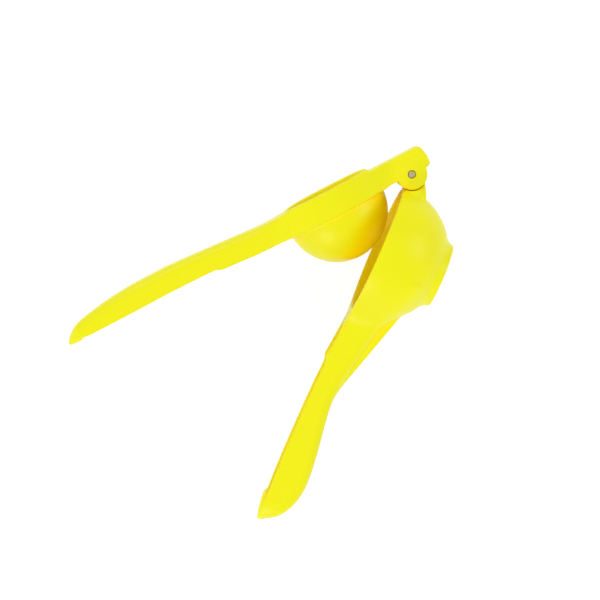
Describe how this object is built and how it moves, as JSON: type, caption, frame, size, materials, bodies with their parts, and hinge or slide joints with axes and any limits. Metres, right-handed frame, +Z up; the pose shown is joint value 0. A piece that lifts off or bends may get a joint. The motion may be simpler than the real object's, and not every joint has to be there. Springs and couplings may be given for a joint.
{
  "type": "hinged lemon squeezer",
  "caption": "Hand-held lemon squeezer: a domed press cup on one channel handle folds into a slotted bowl on the other, both turning on a cross pin.",
  "frame": {"origin": "on the surface that the open tool lies on, under the centre of its bounding box", "axes": "+X from the hinge towards the handle tips, +Y towards the bowl lever, +Z up, away from the surface that it lies on"},
  "size_m": [0.2192, 0.1618, 0.0788],
  "materials": {
    "enamel": "satin baked enamel on cast aluminium, bright lemon yellow",
    "pin_steel": "turned steel rivet end, dull"
  },
  "bodies": {
    "bowl_side": {"bowl_lever": "enamel"},
    "press_side": {"press_lever": "enamel", "hinge_pin": "pin_steel"}
  },
  "joints": [
    {"name": "hinge", "type": "hinge", "parent": "bowl_side", "child": "press_side", "pos_m": [-0.09315, 0.00192, 0.04783], "axis": [-0.1899, 0.0028, -0.9818], "range_deg": [-37.7, 53.5]}
  ]
}
